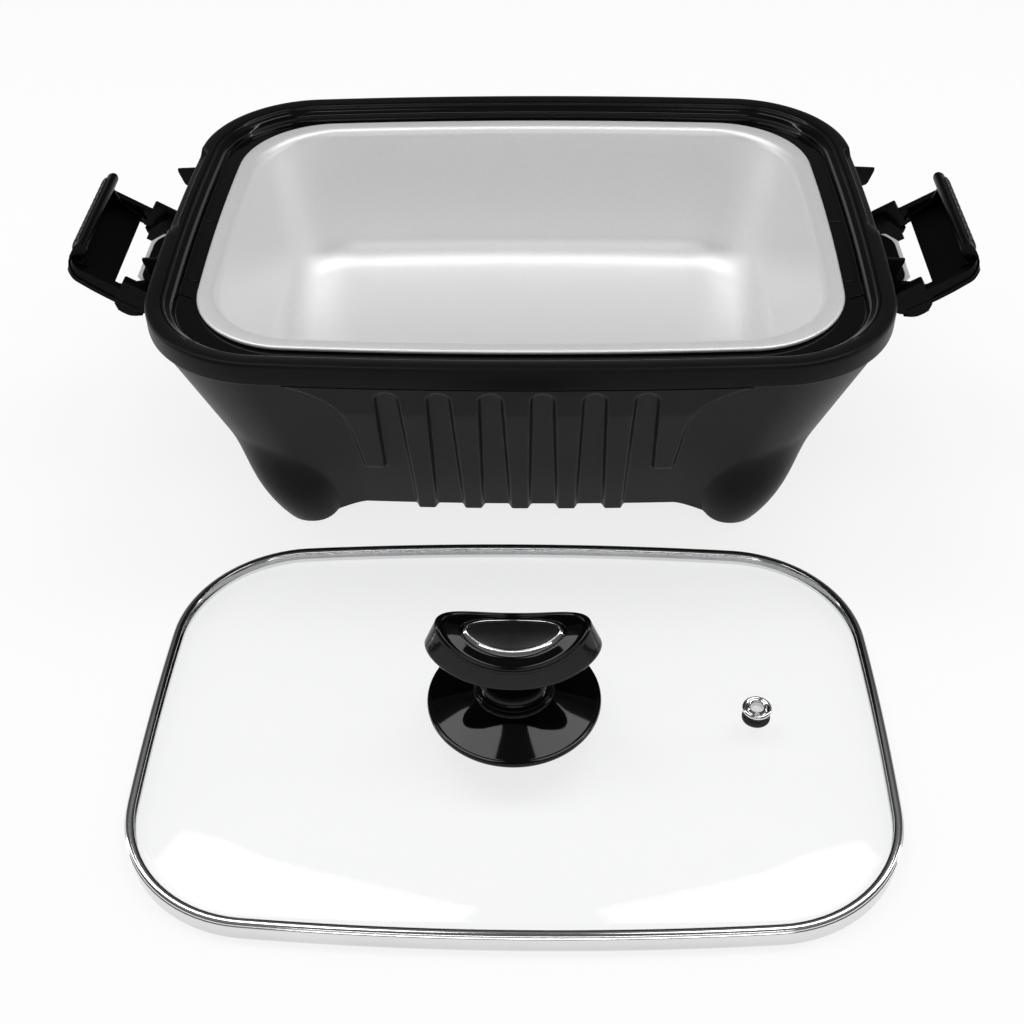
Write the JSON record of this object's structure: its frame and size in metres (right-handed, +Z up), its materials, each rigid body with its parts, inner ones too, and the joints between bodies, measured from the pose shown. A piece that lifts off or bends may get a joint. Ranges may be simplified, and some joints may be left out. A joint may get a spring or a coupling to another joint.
{
  "type": "electric hot pot with glass lid",
  "caption": "Rectangular electric hot pot: tapered black housing, lift-out metal pot, fold-up side handles, loose framed glass lid with knob and steam vent.",
  "frame": {"origin": "on the table, below the middle of the set: the pot stands behind it and the lid lies in front of it", "axes": "+X to the right seen from the front, +Y from the lid towards the pot's back, +Z up"},
  "size_m": [0.4794, 0.5088, 0.1376],
  "materials": {
    "housing_plastic": "fine matt grain",
    "ring_plastic": "polished",
    "pot_aluminium": "fine blasted",
    "rubber": "matt",
    "steel": "plain",
    "cast_plate": "as cast",
    "shield_sheet": "rolled sheet",
    "handle_plastic": "satin",
    "grip_soft": "ridged, satin",
    "lid_glass": "clear, tempered",
    "polished_steel": "polished",
    "knob_chrome": "polished",
    "knob_gloss": "high gloss",
    "knob_inlay": "satin"
  },
  "bodies": {
    "base": {"base_cover": "housing_plastic", "base_screw_1": "steel", "base_screw_2": "steel", "base_screw_3": "steel", "base_screw_4": "steel", "foot_pad_1": "rubber", "foot_pad_2": "rubber", "foot_pad_3": "rubber", "foot_pad_4": "rubber", "heat_shield": "shield_sheet", "heating_element": "steel", "heating_plate": "cast_plate", "inlet_pin_left": "steel", "inlet_pin_right": "steel", "inlet_shroud": "housing_plastic", "left_bracket_screw_back": "steel", "left_bracket_screw_front": "steel", "left_handle_bracket": "handle_plastic", "left_stop_plate": "steel", "outer_housing": "housing_plastic", "plate_post_1": "cast_plate", "plate_post_2": "cast_plate", "plate_post_3": "cast_plate", "plate_post_4": "cast_plate", "probe_sleeve": "steel", "right_bracket_screw_back": "steel", "right_bracket_screw_front": "steel", "right_handle_bracket": "handle_plastic", "right_stop_plate": "steel", "rim_ring": "ring_plastic"},
    "pot": {"inner_pot": "pot_aluminium"},
    "left_handle": {"left_handle_frame": "handle_plastic", "left_grip_insert": "grip_soft", "left_hinge_pin_front": "steel", "left_hinge_pin_back": "steel"},
    "right_handle": {"right_handle_frame": "handle_plastic", "right_grip_insert": "grip_soft", "right_hinge_pin_front": "steel", "right_hinge_pin_back": "steel"},
    "lid": {"knob_base": "knob_gloss", "knob_grip": "knob_gloss", "knob_inlay": "knob_inlay", "knob_neck": "knob_gloss", "knob_screw": "steel", "knob_trim": "knob_chrome", "knob_washer": "rubber", "lid_glass": "lid_glass", "lid_rim_band": "polished_steel", "vent_grommet": "polished_steel", "vent_washer": "rubber"}
  },
  "joints": [
    {"name": "lid_lift", "type": "slide", "parent": "base", "child": "lid", "axis": [0, -0.5, 0.866], "range_m": [0, 0.25]},
    {"name": "pot_lift", "type": "slide", "parent": "base", "child": "pot", "axis": [0, 0, 1], "range_m": [0, 0.12]},
    {"name": "left_handle_hinge", "type": "hinge", "parent": "base", "child": "left_handle", "pos_m": [-0.203, 0.1104, 0.107], "axis": [0, 1, 0], "range_deg": [0, 58]},
    {"name": "right_handle_hinge", "type": "hinge", "parent": "base", "child": "right_handle", "pos_m": [0.203, 0.1104, 0.107], "axis": [0, -1, 0], "range_deg": [0, 58]}
  ]
}
